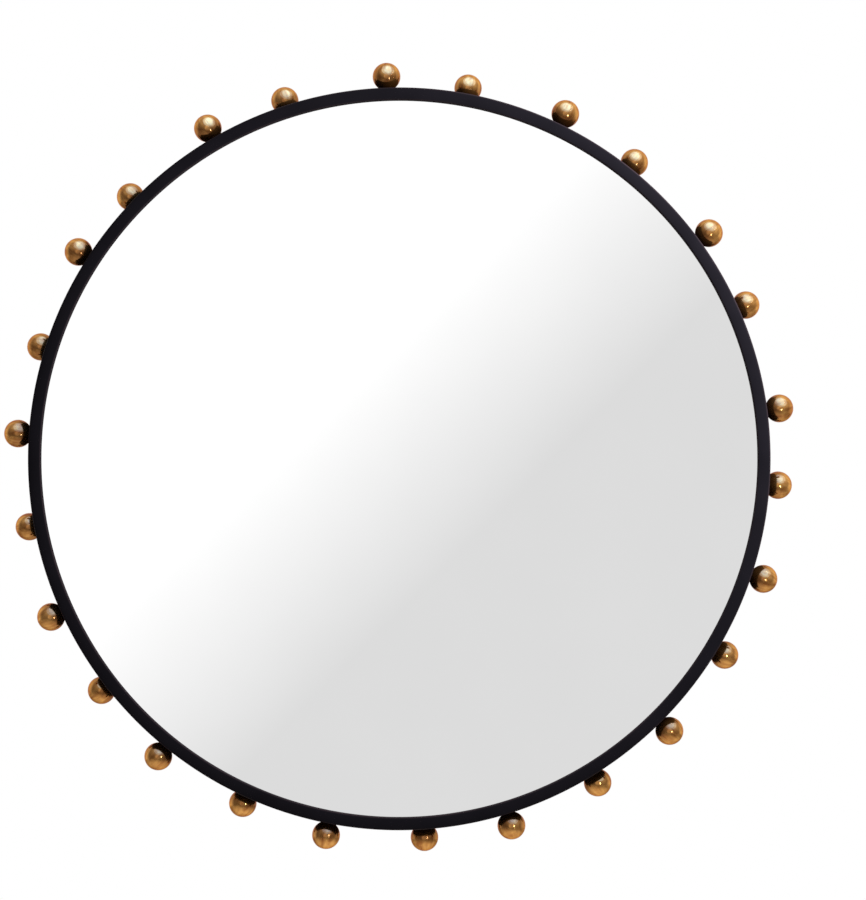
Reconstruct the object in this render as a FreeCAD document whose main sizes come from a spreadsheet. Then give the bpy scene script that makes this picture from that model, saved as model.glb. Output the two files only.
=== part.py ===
import FreeCAD, Part
import math
import os
from collections import namedtuple

import Sketcher

# A round wall mirror: a deep painted steel hoop with a narrow crowned face ring, a looking glass
# behind the ring's lip, and two staggered rows of brass balls screwed on round the hoop.
# The origin is the centre of the hoop's rear edge, which lies on the wall. The glass faces -Y,
# +X is to the viewer's right and +Z is up. Turns are clockwise from the top, as the viewer sees them.

Vector = FreeCAD.Vector
Rotation = FreeCAD.Rotation
Placement = FreeCAD.Placement

# Driving sizes in millimetres, turns in degrees, and counts.
driving_sizes = {
    "overall_diameter": 812.8,  # across the balls
    "overall_depth": 76.2,  # wall to the front of the face ring
    "ball_diameter": 28.6,
    "ball_seat_diameter": 7,  # flat where the ball meets the hoop
    "balls_per_row": 13,
    "row_inset": 19.5,  # ball centres from the front and from the wall
    "front_row_turn": -2.4,
    "rear_row_turn": 10.4,
    "band_wall": 3,
    "band_edge_round": 0.6,
    "face_width": 13,
    "face_thickness": 4,
    "face_crown": 0.6,
    "face_outer_round": 2,
    "face_inner_round": 1.5,
    "gasket_thickness": 1,
    "gasket_setback": 0.5,  # gasket's edges from the lip's edge and the glass's edge
    "glass_thickness": 4,
    "glass_seam": 0.5,  # ground bevel on the glass's edges
    "glass_drop_clearance": 0.8,  # lets the glass pass the screw heads
    "board_thickness": 6,
    "screw_diameter": 5,
    "screw_bite": 10,  # thread inside the ball
    "screw_end_bevel": 0.6,
    "screw_head_diameter": 9.5,
    "screw_head_height": 3.2,
    "screw_head_dome": 1.6,
    "ball_hole_spare": 2,  # hole beyond the screw's end
    "washer_diameter": 10,
    "washer_thickness": 1,
    "hole_clearance": 0.25,  # round a screw that passes through
    "snug_clearance": 0.05,  # round a thread or a rivet
    "bracket_width": 18,
    "bracket_height": 16,  # along the hoop
    "bracket_reach": 22,  # over the board
    "bracket_thickness": 1.5,
    "bracket_bend": 3,
    "bracket_hole_margin": 8,
    "bracket_stride": 2,  # a bracket at every second rear ball
    "board_screw_diameter": 3.5,
    "board_screw_bite": 4.5,
    "board_screw_head_diameter": 7,
    "board_screw_head_height": 2.2,
    "board_screw_head_dome": 1.4,
    "pilot_spare": 0.5,
    "block_length": 30,
    "block_depth": 8,
    "block_turn": 30,  # wanted turn of each setting block from the bottom
    "hanger_spacing": 400,
    "hanger_inset": 10,  # rear of the tab from the wall
    "tab_width": 40,
    "tab_thickness": 3,
    "tab_corner_round": 8,
    "tab_margin": 5,
    "strap_width": 12,
    "strap_thickness": 1.2,
    "strap_end_margin": 5,
    "ring_wire": 3,
    "ring_inner_width": 20,
    "ring_bend": 3,
    "ring_clearance": 0.25,
    "hook_room": 12,  # free space above a raised ring
    "rivet_diameter": 4,
    "rivet_head_diameter": 6.5,
    "rivet_head_height": 1.5,
    "rivet_gap": 1.5,  # hanging ring to the first rivet's head
    "rivet_pitch": 10,
    "cut_overrun": 2,
}

# Sizes and places that follow from the driving sizes.
worked_out = {
    "row_pitch": "360 / Dims.balls_per_row",
    "front_row_y": "Dims.row_inset - Dims.overall_depth",
    "rear_row_y": "-Dims.row_inset",
    "ball_radius": "Dims.ball_diameter / 2",
    "ball_seat_radius": "Dims.ball_seat_diameter / 2",
    "ball_top_radius": "Dims.overall_diameter / 2",
    "ball_circle_radius": "ball_top_radius - ball_radius",
    "band_outer_radius": "ball_circle_radius - sqrt(ball_radius ^ 2 - ball_seat_radius ^ 2)",
    "band_inner_radius": "band_outer_radius - Dims.band_wall",
    "face_inner_radius": "band_outer_radius - Dims.face_width",
    "face_crown_radius": "(Dims.face_width ^ 2 / 4 + Dims.face_crown ^ 2) / (2 * Dims.face_crown)",
    "face_edge_y": "Dims.face_crown - Dims.overall_depth",
    "face_back_y": "Dims.face_thickness - Dims.overall_depth",
    "glass_front_y": "face_back_y + Dims.gasket_thickness",
    "glass_back_y": "glass_front_y + Dims.glass_thickness",
    "board_back_y": "glass_back_y + Dims.board_thickness",
    "screw_radius": "Dims.screw_diameter / 2",
    "screw_hole_radius": "screw_radius + Dims.hole_clearance",
    "screw_hole_reach": "band_outer_radius + Dims.cut_overrun",
    "washer_radius": "Dims.washer_diameter / 2",
    "washer_seat_radius": "sqrt(band_inner_radius ^ 2 - washer_radius ^ 2)",
    "screw_seat_radius": "washer_seat_radius - Dims.washer_thickness",
    "screw_top_radius": "screw_seat_radius - Dims.screw_head_height",
    "screw_rim_radius": "screw_top_radius + Dims.screw_head_dome",
    "screw_tip_radius": "band_outer_radius + Dims.screw_bite",
    "screw_bevel_radius": "screw_tip_radius - Dims.screw_end_bevel",
    "screw_end_radius": "screw_radius - Dims.screw_end_bevel",
    "screw_head_radius": "Dims.screw_head_diameter / 2",
    "screw_dome_radius": "(screw_head_radius ^ 2 + Dims.screw_head_dome ^ 2) / (2 * Dims.screw_head_dome)",
    "ball_hole_radius": "screw_radius + Dims.snug_clearance",
    "ball_hole_end_radius": "screw_tip_radius + Dims.ball_hole_spare",
    "ball_hole_point_radius": "ball_hole_end_radius + ball_hole_radius / sqrt(3)",
    "glass_radius": "screw_top_radius - Dims.glass_drop_clearance",
    "gasket_inner_radius": "face_inner_radius + Dims.gasket_setback",
    "gasket_outer_radius": "glass_radius - Dims.gasket_setback",
    "bracket_turn": "Dims.bracket_width / band_inner_radius * 180 / pi",
    "bracket_tip_radius": "band_inner_radius - Dims.bracket_reach",
    "bracket_wall_radius": "band_inner_radius - Dims.bracket_thickness",
    "bracket_bend_radius": "band_inner_radius - Dims.bracket_bend",
    "bracket_inner_bend": "Dims.bracket_bend - Dims.bracket_thickness",
    "bracket_bend_y": "board_back_y + Dims.bracket_bend",
    "bracket_face_y": "board_back_y + Dims.bracket_thickness",
    "bracket_end_y": "board_back_y + Dims.bracket_height",
    "bracket_hole_start_y": "board_back_y - Dims.cut_overrun",
    "bracket_hole_length": "Dims.bracket_thickness + 2 * Dims.cut_overrun",
    "bracket_hole_radius": "board_screw_radius + Dims.hole_clearance",
    "board_screw_circle": "bracket_tip_radius + Dims.bracket_hole_margin",
    "board_screw_radius": "Dims.board_screw_diameter / 2",
    "board_screw_tip_y": "board_back_y - Dims.board_screw_bite",
    "board_screw_point_y": "board_screw_tip_y + board_screw_radius",
    "board_screw_top_y": "bracket_face_y + Dims.board_screw_head_height",
    "board_screw_rim_y": "board_screw_top_y - Dims.board_screw_head_dome",
    "board_screw_head_radius": "Dims.board_screw_head_diameter / 2",
    "board_screw_dome_radius":
        "(board_screw_head_radius ^ 2 + Dims.board_screw_head_dome ^ 2) / (2 * Dims.board_screw_head_dome)",
    "pilot_radius": "board_screw_radius + Dims.snug_clearance",
    "pilot_start_y": "board_screw_tip_y - Dims.pilot_spare",
    "pilot_length": "board_back_y - pilot_start_y + Dims.cut_overrun",
    "block_arc": "Dims.block_length / band_inner_radius * 180 / pi",
    "block_back_y": "glass_front_y + Dims.block_depth",
    "hanger_x": "Dims.hanger_spacing / 2",
    "tab_rear_y": "-Dims.hanger_inset",
    "tab_front_y": "tab_rear_y - Dims.tab_thickness",
    "tab_inner_x": "hanger_x - Dims.tab_width / 2",
    "tab_outer_x": "hanger_x + Dims.tab_width / 2",
    "tab_inner_top_z": "sqrt(band_inner_radius ^ 2 - tab_inner_x ^ 2)",
    "tab_outer_top_z": "sqrt(band_inner_radius ^ 2 - tab_outer_x ^ 2)",
    "tab_bottom_z": "strap_end_z - Dims.tab_margin",
    "ring_wire_radius": "Dims.ring_wire / 2",
    "ring_bow_radius": "Dims.ring_inner_width / 2 + ring_wire_radius",
    "ring_bar_half": "ring_bow_radius - Dims.ring_bend",
    "ring_bar_length": "2 * ring_bar_half",
    "ring_side_x": "hanger_x + ring_bow_radius + ring_wire_radius",
    "ring_reach": "Dims.ring_bend + ring_bow_radius + ring_wire_radius",
    "eye_hole_radius": "ring_wire_radius + Dims.ring_clearance",
    "eye_radius": "eye_hole_radius + Dims.strap_thickness",
    "pivot_y": "tab_rear_y + eye_radius",
    "pivot_z": "sqrt(band_inner_radius ^ 2 - ring_side_x ^ 2) - ring_reach - Dims.hook_room",
    "eye_foot_z": "pivot_z - sqrt(eye_radius ^ 2 - eye_hole_radius ^ 2)",
    "strap_rear_y": "tab_rear_y + Dims.strap_thickness",
    "strap_end_z": "lower_rivet_z - Dims.strap_end_margin",
    "rivet_radius": "Dims.rivet_diameter / 2",
    "rivet_head_radius": "Dims.rivet_head_diameter / 2",
    "rivet_hole_radius": "rivet_radius + Dims.snug_clearance",
    "rivet_dome_radius":
        "(rivet_head_radius ^ 2 + Dims.rivet_head_height ^ 2) / (2 * Dims.rivet_head_height)",
    "rivet_top_y": "strap_rear_y + Dims.rivet_head_height",
    "rivet_tail_y": "tab_front_y - Dims.rivet_head_height",
    "upper_rivet_z": "pivot_z - ring_reach - Dims.rivet_gap - rivet_head_radius",
    "lower_rivet_z": "upper_rivet_z - Dims.rivet_pitch",
}

# The balls were set round the hoop by hand: each one's lead or lag, as a share of its row's pitch.
front_lead_shares = (0.02, 0.02, 0.04, 0.07, 0.0, -0.03, -0.03, -0.02, -0.01, -0.05, -0.03, 0.02, 0.0)
rear_lead_shares = (0.0, 0.01, 0.01, 0.02, 0.0, -0.01, -0.01, 0.01, 0.01, 0.0, 0.0, -0.03, -0.02)

same_place_share = 1e-6  # of the overall diameter: how near two places count as one

doc = FreeCAD.newDocument("round_mirror")
sub_parts = []

along_x = Vector(1, 0, 0)
along_y = Vector(0, 1, 0)
along_z = Vector(0, 0, 1)
stand_up = Rotation(along_x, 90)  # sketch across X, up Z
face_round = Rotation(along_y, -90)  # sketch across Z, up Y
point_back = Rotation(along_x, -90)  # a cylinder's length along +Y


def fill_sheet(name, cells):
    sheet = doc.addObject("Spreadsheet::Sheet", name)
    for row, (alias, content) in enumerate(cells.items(), start=1):
        sheet.set(f"B{row}", content)
        sheet.setAlias(f"B{row}", alias)
    return sheet


dims = fill_sheet("Dims", {alias: str(value) for alias, value in driving_sizes.items()})
layout = fill_sheet("Layout", {alias: f"={formula}" for alias, formula in worked_out.items()})
doc.recompute()


# Named sizes: a leading minus gives the opposite side.

def size(name):
    if name.startswith("-"):
        return -size(name[1:])
    return dims.get(name) if name in driving_sizes else layout.get(name)


def cell(name):
    if name.startswith("-"):
        return f"-{cell(name[1:])}"
    return f"Dims.{name}" if name in driving_sizes else f"Layout.{name}"


def bind(thing, **names):
    for place, name in names.items():
        thing.setExpression(place.replace("__", "."), cell(name))


def same_place(first, second):
    return abs(first - second) < same_place_share * size("overall_diameter")


# Sketch outlines: corners are pairs of named sizes, zero lies on an axis.

Bend = namedtuple("Bend", "radius turn large", defaults=(1, False))


def corner_point(corner):
    return Vector(*(size(name) if name else 0 for name in corner), 0)


def bend_middle(start, end, bend):
    radius = size(bend.radius)
    chord = end - start
    left = Vector(-chord.y, chord.x, 0).normalize() * bend.turn
    to_centre = math.sqrt(max(radius ** 2 - chord.Length ** 2 / 4, 0))
    side = -1 if bend.large else 1
    return (start + end) / 2 + left * (side * to_centre - radius)


def fix_place(sketch, item, end, corner, label):
    for name, kind, axis in zip(corner, ("DistanceX", "DistanceY"), (-2, -1)):
        if not name:
            sketch.addConstraint(Sketcher.Constraint("PointOnObject", item, end, axis))
            continue
        number = sketch.addConstraint(Sketcher.Constraint(kind, -1, 1, item, end, size(name)))
        sketch.renameConstraint(number, f"{label}_{kind}")
        sketch.setExpression(f"Constraints.{label}_{kind}", cell(name))


def fix_radius(sketch, item, name, label):
    number = sketch.addConstraint(Sketcher.Constraint("Radius", item, size(name)))
    sketch.renameConstraint(number, f"{label}_bend")
    sketch.setExpression(f"Constraints.{label}_bend", cell(name))


def outline(sketch, corners, bends=None):
    bends = bends or {}
    ends = []
    for number, corner in enumerate(corners):
        start = corner_point(corner)
        finish = corner_point(corners[(number + 1) % len(corners)])
        bend = bends.get(number)
        if bend is None:
            item = sketch.addGeometry(Part.LineSegment(start, finish))
            ends.append((item, 1, 2))
            continue
        middle = bend_middle(start, finish, bend)
        forward = bend.turn > 0
        arc = Part.Arc(start, middle, finish) if forward else Part.Arc(finish, middle, start)
        item = sketch.addGeometry(arc)
        ends.append((item, 1, 2) if forward else (item, 2, 1))
    for (item, _, finish), (following, start, _) in zip(ends, ends[1:] + ends[:1]):
        sketch.addConstraint(Sketcher.Constraint("Coincident", item, finish, following, start))
    for number, (item, start, _) in enumerate(ends):
        fix_place(sketch, item, start, corners[number], f"corner_{number}")
        if number in bends:
            fix_radius(sketch, item, bends[number].radius, f"corner_{number}")


def round_hole(sketch, corner, radius, label):
    item = sketch.addGeometry(Part.Circle(corner_point(corner), along_z, size(radius)))
    fix_place(sketch, item, 3, corner, label)
    fix_radius(sketch, item, radius, label)


def free_sketch(name, turn, corners, bends=None):
    sketch = doc.addObject("Sketcher::SketchObject", name)
    sketch.Placement = Placement(Vector(), turn)
    outline(sketch, corners, bends)
    return sketch


# Bodies with their own sketches, and turned pieces that share one.

def new_body(label):
    body = doc.addObject("PartDesign::Body", label)
    body.Label = label
    return body


def body_sketch(body, name, role):
    sketch = body.newObject("Sketcher::SketchObject", f"{body.Name}_{name}")
    plane = next(feature for feature in body.Origin.OriginFeatures if feature.Role == role)
    sketch.AttachmentSupport = [(plane, "")]
    sketch.MapMode = "FlatFace"
    return sketch


def ring_body(label, corners, bends=None):
    body = new_body(label)
    sketch = body_sketch(body, "profile", "XY_Plane")
    outline(sketch, corners, bends)
    ring = body.newObject("PartDesign::Revolution", f"{label}_turned")
    ring.Profile = sketch
    ring.ReferenceAxis = (sketch, ["V_Axis"])
    ring.Angle = 360
    doc.recompute()
    return body


def rim_edges(body, radius, y):
    shape = body.Tip.Shape
    names = []
    for number, edge in enumerate(shape.Edges, start=1):
        if edge.Curve.TypeId != "Part::GeomCircle" or not same_place(edge.Curve.Radius, size(radius)):
            continue
        if same_place(edge.Curve.Center.y, size(y) if y else 0):
            names.append(f"Edge{number}")
    return names


def dress(body, kind, edges, **names):
    bare = body.Tip
    feature = body.newObject(f"PartDesign::{kind}", f"{body.Name}_{kind}")
    feature.Base = (bare, edges)
    bind(feature, **names)
    body.Tip = feature
    doc.recompute()


def turned(label, sketch, axis):
    piece = doc.addObject("Part::Revolution", label)
    piece.Source = sketch
    piece.Axis = axis
    piece.Base = Vector()
    piece.Angle = 360
    piece.Solid = True
    return piece


def arc_piece(label, sketch, turn):
    piece = turned(label, sketch, along_y)
    piece.Symmetric = True
    bind(piece, Angle=turn)
    return piece


def rod(label, direction, radius, length):
    piece = doc.addObject("Part::Cylinder", label)
    piece.Placement = Placement(Vector(), direction)
    bind(piece, Radius=radius, Height=length)
    return piece


def group(label, pieces):
    gathered = doc.addObject("Part::Compound", label)
    gathered.Links = pieces
    return gathered


def cut(label, base, tool):
    result = doc.addObject("Part::Cut", label)
    result.Base = base
    result.Tool = tool
    return result


def turn_round(piece, angle, row=None):
    piece.Placement = Placement(Vector(), Rotation(along_y, 1))  # sets the axis, the angle follows
    piece.setExpression("Placement.Rotation.Angle", angle)
    if row:
        bind(piece, Placement__Base__y=row)


def put_on_circle(piece, angle, radius):
    piece.setExpression("Placement.Base.x", f"{cell(radius)} * sin({angle})")
    piece.setExpression("Placement.Base.z", f"{cell(radius)} * cos({angle})")


def keep(piece, label):
    piece.Label = label
    sub_parts.append(piece)


# Where each ball stands: its turn as a formula.

balls_per_row = int(round(size("balls_per_row")))


def row_turns(start, shares):
    turns = []
    for number in range(balls_per_row):
        steps = number + shares[number % len(shares)]
        turns.append(f"({cell(start)} + {steps} * {cell('row_pitch')})")
    return turns


rows = (
    ("front", "front_row_y", row_turns("front_row_turn", front_lead_shares)),
    ("rear", "rear_row_y", row_turns("rear_row_turn", rear_lead_shares)),
)
rear_turns = rows[1][2]
bracket_turns = rear_turns[::int(round(size("bracket_stride")))]


def make_band():
    hoop = ring_body("hoop", (
        ("band_inner_radius", "face_back_y"),
        ("band_outer_radius", "face_back_y"),
        ("band_outer_radius", 0),
        ("band_inner_radius", 0),
    ))
    rims = rim_edges(hoop, "band_outer_radius", 0) + rim_edges(hoop, "band_inner_radius", 0)
    dress(hoop, "Fillet", rims, Radius="band_edge_round")
    drills = []
    for name, row, turns in rows:
        for number, angle in enumerate(turns, start=1):
            drill = rod(f"{name}_drill_{number:02d}", Rotation(), "screw_hole_radius", "screw_hole_reach")
            turn_round(drill, angle, row)
            drills.append(drill)
    keep(cut("outer_band", hoop, group("band_drills", drills)), "outer_band")


def make_face_ring():
    ring = ring_body("face_ring", (
        ("face_inner_radius", "face_edge_y"),
        ("band_outer_radius", "face_edge_y"),
        ("band_outer_radius", "face_back_y"),
        ("face_inner_radius", "face_back_y"),
    ), {0: Bend("face_crown_radius")})
    dress(ring, "Fillet", rim_edges(ring, "band_outer_radius", "face_edge_y"), Radius="face_outer_round")
    dress(ring, "Fillet", rim_edges(ring, "face_inner_radius", "face_edge_y"), Radius="face_inner_round")
    keep(ring, "face_ring")


def make_glass():
    gasket = ring_body("glass_gasket", (
        ("gasket_inner_radius", "face_back_y"),
        ("gasket_outer_radius", "face_back_y"),
        ("gasket_outer_radius", "glass_front_y"),
        ("gasket_inner_radius", "glass_front_y"),
    ))
    keep(gasket, "glass_gasket")
    glass = ring_body("mirror_glass", (
        (0, "glass_front_y"),
        ("glass_radius", "glass_front_y"),
        ("glass_radius", "glass_back_y"),
        (0, "glass_back_y"),
    ))
    front_rim = rim_edges(glass, "glass_radius", "glass_front_y")
    back_rim = rim_edges(glass, "glass_radius", "glass_back_y")
    dress(glass, "Chamfer", front_rim + back_rim, Size="glass_seam")
    keep(glass, "mirror_glass")


def make_board():
    disc = ring_body("board_disc", (
        (0, "glass_back_y"),
        ("glass_radius", "glass_back_y"),
        ("glass_radius", "board_back_y"),
        (0, "board_back_y"),
    ))
    pilots = []
    for number, angle in enumerate(bracket_turns, start=1):
        pilot = rod(f"pilot_{number}", point_back, "pilot_radius", "pilot_length")
        bind(pilot, Placement__Base__y="pilot_start_y")
        put_on_circle(pilot, angle, "board_screw_circle")
        pilots.append(pilot)
    keep(cut("backing_board", disc, group("board_pilots", pilots)), "backing_board")


def make_brackets():
    section = free_sketch("bracket_section", face_round, (
        ("bracket_tip_radius", "board_back_y"),
        ("bracket_bend_radius", "board_back_y"),
        ("band_inner_radius", "bracket_bend_y"),
        ("band_inner_radius", "bracket_end_y"),
        ("bracket_wall_radius", "bracket_end_y"),
        ("bracket_wall_radius", "bracket_bend_y"),
        ("bracket_bend_radius", "bracket_face_y"),
        ("bracket_tip_radius", "bracket_face_y"),
    ), {1: Bend("bracket_bend"), 5: Bend("bracket_inner_bend", turn=-1)})
    for number, angle in enumerate(bracket_turns, start=1):
        blank = arc_piece(f"bracket_blank_{number}", section, "bracket_turn")
        drill = rod(f"bracket_drill_{number}", point_back, "bracket_hole_radius", "bracket_hole_length")
        bind(drill, Placement__Base__y="bracket_hole_start_y", Placement__Base__z="board_screw_circle")
        bracket = cut(f"board_bracket_{number}", blank, drill)
        turn_round(bracket, angle)
        keep(bracket, f"board_bracket_{number}")


def make_board_screws():
    half = free_sketch("board_screw_half", Rotation(), (
        (0, "board_screw_tip_y"),
        ("board_screw_radius", "board_screw_point_y"),
        ("board_screw_radius", "bracket_face_y"),
        ("board_screw_head_radius", "bracket_face_y"),
        ("board_screw_head_radius", "board_screw_rim_y"),
        (0, "board_screw_top_y"),
    ), {4: Bend("board_screw_dome_radius")})
    screws = []
    for number, angle in enumerate(bracket_turns, start=1):
        screw = turned(f"board_screw_{number}", half, along_y)
        put_on_circle(screw, angle, "board_screw_circle")
        screws.append(screw)
    keep(group("board_screws", screws), "board_screws")


def nearest_rear_turn(wanted):
    start = size("rear_row_turn")
    return rear_turns[round((wanted - start) / size("row_pitch")) % balls_per_row]


def make_setting_blocks():
    section = free_sketch("block_section", face_round, (
        ("glass_radius", "glass_front_y"),
        ("band_inner_radius", "glass_front_y"),
        ("band_inner_radius", "block_back_y"),
        ("glass_radius", "block_back_y"),
    ))
    for side, way in (("left", 1), ("right", -1)):
        block = arc_piece(f"setting_block_{side}", section, "block_arc")
        turn_round(block, nearest_rear_turn(180 + way * size("block_turn")))
        keep(block, f"setting_block_{side}")


def make_balls():
    half = free_sketch("ball_half", stand_up, (
        ("ball_hole_radius", "band_outer_radius"),
        ("ball_seat_radius", "band_outer_radius"),
        (0, "ball_top_radius"),
        (0, "ball_hole_point_radius"),
        ("ball_hole_radius", "ball_hole_end_radius"),
    ), {1: Bend("ball_radius")})
    for name, row, turns in rows:
        for number, angle in enumerate(turns, start=1):
            ball = turned(f"{name}_ball_{number:02d}", half, along_z)
            turn_round(ball, angle, row)
            keep(ball, f"{name}_ball_{number:02d}")


def make_ball_fixings():
    screw_half = free_sketch("ball_screw_half", stand_up, (
        (0, "screw_top_radius"),
        ("screw_head_radius", "screw_rim_radius"),
        ("screw_head_radius", "screw_seat_radius"),
        ("screw_radius", "screw_seat_radius"),
        ("screw_radius", "screw_bevel_radius"),
        ("screw_end_radius", "screw_tip_radius"),
        (0, "screw_tip_radius"),
    ), {0: Bend("screw_dome_radius")})
    washer_half = free_sketch("washer_half", stand_up, (
        ("screw_hole_radius", "screw_seat_radius"),
        ("washer_radius", "screw_seat_radius"),
        ("washer_radius", "washer_seat_radius"),
        ("screw_hole_radius", "washer_seat_radius"),
    ))
    for name, row, turns in rows:
        for kind, half in (("screw", screw_half), ("washer", washer_half)):
            pieces = []
            for number, angle in enumerate(turns, start=1):
                piece = turned(f"{name}_{kind}_{number:02d}", half, along_z)
                turn_round(piece, angle, row)
                pieces.append(piece)
            label = f"{name}_ball_{kind}s"
            keep(group(label, pieces), label)


def make_hanger_tab(side, sign):
    label = f"hanger_tab_{side}"
    body = new_body(label)
    sketch = body_sketch(body, "plate", "XZ_Plane")
    bind(sketch, AttachmentOffset__Base__z="-tab_rear_y")
    turn = -1 if sign else 1
    outline(sketch, (
        (f"{sign}tab_inner_x", "tab_bottom_z"),
        (f"{sign}tab_outer_x", "tab_bottom_z"),
        (f"{sign}tab_outer_x", "tab_outer_top_z"),
        (f"{sign}tab_inner_x", "tab_inner_top_z"),
    ), {2: Bend("band_inner_radius", turn=turn)})
    round_hole(sketch, (f"{sign}hanger_x", "upper_rivet_z"), "rivet_hole_radius", "upper")
    round_hole(sketch, (f"{sign}hanger_x", "lower_rivet_z"), "rivet_hole_radius", "lower")
    pad = body.newObject("PartDesign::Pad", f"{label}_pad")
    pad.Profile = sketch
    bind(pad, Length="tab_thickness")
    doc.recompute()
    corners = []
    for number, edge in enumerate(pad.Shape.Edges, start=1):
        ends = [vertex.Point for vertex in edge.Vertexes]
        if all(same_place(end.z, size("tab_bottom_z")) for end in ends) and same_place(ends[0].x, ends[-1].x):
            corners.append(f"Edge{number}")
    dress(body, "Fillet", corners, Radius="tab_corner_round")
    keep(body, label)


def make_hanger_strap(side, sign):
    label = f"hanger_strap_{side}"
    body = new_body(label)
    sketch = body_sketch(body, "side", "YZ_Plane")
    outline(sketch, (
        ("tab_rear_y", "strap_end_z"),
        ("strap_rear_y", "strap_end_z"),
        ("strap_rear_y", "eye_foot_z"),
        ("tab_rear_y", "pivot_z"),
    ), {2: Bend("eye_radius", large=True)})
    round_hole(sketch, ("pivot_y", "pivot_z"), "eye_hole_radius", "eye")
    pad = body.newObject("PartDesign::Pad", f"{label}_pad")
    pad.Profile = sketch
    pad.SideType = "Symmetric"
    bind(pad, Length="strap_width")
    holes = body_sketch(body, "holes", "XZ_Plane")
    round_hole(holes, (0, "upper_rivet_z"), "rivet_hole_radius", "upper")
    round_hole(holes, (0, "lower_rivet_z"), "rivet_hole_radius", "lower")
    pocket = body.newObject("PartDesign::Pocket", f"{label}_pocket")
    pocket.Profile = holes
    pocket.Type = "ThroughAll"
    pocket.SideType = "Symmetric"
    bind(body, Placement__Base__x=f"{sign}hanger_x")
    doc.recompute()
    if pocket.Shape.Volume >= pad.Shape.Volume:
        raise RuntimeError(f"{label} has no rivet holes")
    keep(body, label)


def make_hanger_ring(side, sign):
    label = f"hanger_ring_{side}"
    bar = rod(f"{label}_bar", Rotation(along_y, 90), "ring_wire_radius", "ring_bar_length")
    bind(bar, Placement__Base__x="-ring_bar_half")
    wires = [bar]
    for place, major, centre_x, start, sweep in (
        ("bow", "ring_bow_radius", None, 180, 180),
        ("right_bend", "ring_bend", "ring_bar_half", 0, 90),
        ("left_bend", "ring_bend", "-ring_bar_half", 90, 90),
    ):
        wire = doc.addObject("Part::Torus", f"{label}_{place}")
        wire.Placement = Placement(Vector(), stand_up * Rotation(along_z, start))
        wire.Angle3 = sweep
        bind(wire, Radius1=major, Radius2="ring_wire_radius", Placement__Base__z="-ring_bend")
        if centre_x:
            bind(wire, Placement__Base__x=centre_x)
        wires.append(wire)
    ring = doc.addObject("Part::MultiFuse", label)
    ring.Shapes = wires
    bind(ring, Placement__Base__x=f"{sign}hanger_x")
    bind(ring, Placement__Base__y="pivot_y", Placement__Base__z="pivot_z")
    keep(ring, label)


def make_hangers():
    sides = (("left", "-"), ("right", ""))
    for side, sign in sides:
        make_hanger_tab(side, sign)
        make_hanger_strap(side, sign)
        make_hanger_ring(side, sign)
    half = free_sketch("rivet_half", Rotation(), (
        (0, "rivet_tail_y"),
        ("rivet_head_radius", "tab_front_y"),
        ("rivet_radius", "tab_front_y"),
        ("rivet_radius", "strap_rear_y"),
        ("rivet_head_radius", "strap_rear_y"),
        (0, "rivet_top_y"),
    ), {0: Bend("rivet_dome_radius"), 4: Bend("rivet_dome_radius")})
    rivets = []
    for side, sign in sides:
        for height in ("upper", "lower"):
            rivet = turned(f"{side}_{height}_rivet", half, along_y)
            bind(rivet, Placement__Base__x=f"{sign}hanger_x", Placement__Base__z=f"{height}_rivet_z")
            rivets.append(rivet)
    keep(group("hanger_rivets", rivets), "hanger_rivets")


make_band()
make_face_ring()
make_glass()
make_board()
make_brackets()
make_board_screws()
make_setting_blocks()
make_balls()
make_ball_fixings()
make_hangers()
doc.recompute()

for thing in doc.Objects:
    if "Invalid" in thing.State or "Error" in thing.State:
        raise RuntimeError(f"{thing.Label} failed: {thing.State}")
for piece in sub_parts:
    if piece.Shape.isNull() or not piece.Shape.isValid() or not piece.Shape.Solids:
        raise RuntimeError(f"{piece.Label} has no sound solid")

os.makedirs("parts", exist_ok=True)
for piece in sub_parts:
    piece.Shape.exportStep(f"parts/{piece.Label}.step")
    print(f"{piece.Label}: {len(piece.Shape.Solids)} solid, {piece.Shape.Volume / 1000:.2f} cm3")
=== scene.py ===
import bpy
import numpy as np
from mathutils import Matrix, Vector


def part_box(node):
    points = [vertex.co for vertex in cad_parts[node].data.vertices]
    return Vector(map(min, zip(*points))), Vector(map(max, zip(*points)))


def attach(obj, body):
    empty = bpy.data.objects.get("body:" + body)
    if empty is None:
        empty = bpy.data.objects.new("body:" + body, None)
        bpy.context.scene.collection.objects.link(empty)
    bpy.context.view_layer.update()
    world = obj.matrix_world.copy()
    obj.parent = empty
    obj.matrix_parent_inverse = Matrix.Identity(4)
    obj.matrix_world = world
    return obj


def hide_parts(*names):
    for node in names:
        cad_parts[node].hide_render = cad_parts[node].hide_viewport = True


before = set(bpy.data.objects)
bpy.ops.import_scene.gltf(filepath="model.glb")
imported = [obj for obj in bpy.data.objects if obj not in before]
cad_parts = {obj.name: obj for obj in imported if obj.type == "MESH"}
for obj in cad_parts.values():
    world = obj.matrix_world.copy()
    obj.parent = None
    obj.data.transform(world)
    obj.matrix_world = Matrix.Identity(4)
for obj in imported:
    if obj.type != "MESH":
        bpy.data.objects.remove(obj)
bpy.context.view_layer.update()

mm = 0.001  # the pieces' sizes are millimetres, the scene and its studio are metres
hair = 1e-6  # points nearer than this are one point
scene = bpy.context.scene
scene.view_settings.view_transform = "Standard"
towardX, towardY, towardZ = np.eye(3)  # viewer's right, the wall, up


def hexColour(code):
    # sRGB hex to linear light: c / 12.92 near black, ((c + 0.055) / 1.055) ^ 2.4 above
    c = np.array([int(code[i:i + 2], 16) for i in (1, 3, 5)]) / 255
    return (*np.where(c <= 0.04045, c / 12.92, ((c + 0.055) / 1.055) ** 2.4).tolist(), 1.0)


def perMetre(size):
    return 1 / (size * mm)  # a texture's scale for features of this size in millimetres


# Shapes. A shape is (points, [faces of one kind, ...], [their UV corners, ...]).

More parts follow.
